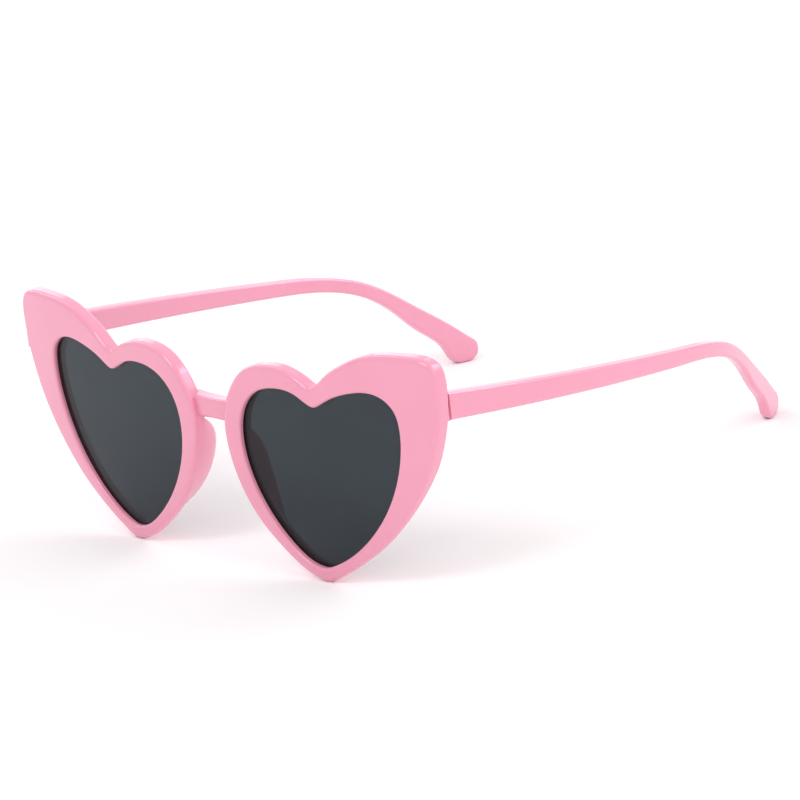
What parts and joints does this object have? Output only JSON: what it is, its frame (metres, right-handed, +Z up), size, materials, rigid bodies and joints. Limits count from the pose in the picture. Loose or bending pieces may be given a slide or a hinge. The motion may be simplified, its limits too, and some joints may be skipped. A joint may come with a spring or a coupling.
{
  "type": "heart shaped sunglasses",
  "caption": "Sunglasses with a one-piece front of heart shaped rims and upswept wings, dark tinted lenses, moulded nose pads, and temples that fold on barrel hinges.",
  "frame": {"origin": "centre of the footprint, on the table that the open glasses stand on", "axes": "+Z is up, -Y is the way the front faces, +Y runs back along the temples, +X is the wearer's left"},
  "size_m": [0.1526, 0.1468, 0.0602],
  "materials": {
    "pink_plastic": "gloss moulded, opaque pink",
    "tinted_lens": "polished, dark grey tint",
    "hinge_steel": "plated steel"
  },
  "bodies": {
    "front": {"front_frame": "pink_plastic", "left_lens": "tinted_lens", "right_lens": "tinted_lens", "left_front_hinge_leaf": "hinge_steel", "right_front_hinge_leaf": "hinge_steel", "left_hinge_screw": "hinge_steel", "right_hinge_screw": "hinge_steel"},
    "left_temple": {"left_temple": "pink_plastic", "left_temple_hinge_leaf": "hinge_steel"},
    "right_temple": {"right_temple": "pink_plastic", "right_temple_hinge_leaf": "hinge_steel"}
  },
  "joints": [
    {"name": "left_temple_hinge", "type": "hinge", "parent": "front", "child": "left_temple", "pos_m": [0.06875, -0.06002, 0.04749], "axis": [0, 0.02, 0.9998], "range_deg": [0, 85]},
    {"name": "right_temple_hinge", "type": "hinge", "parent": "front", "child": "right_temple", "pos_m": [-0.06875, -0.06002, 0.04749], "axis": [0, -0.02, -0.9998], "range_deg": [0, 78]}
  ]
}
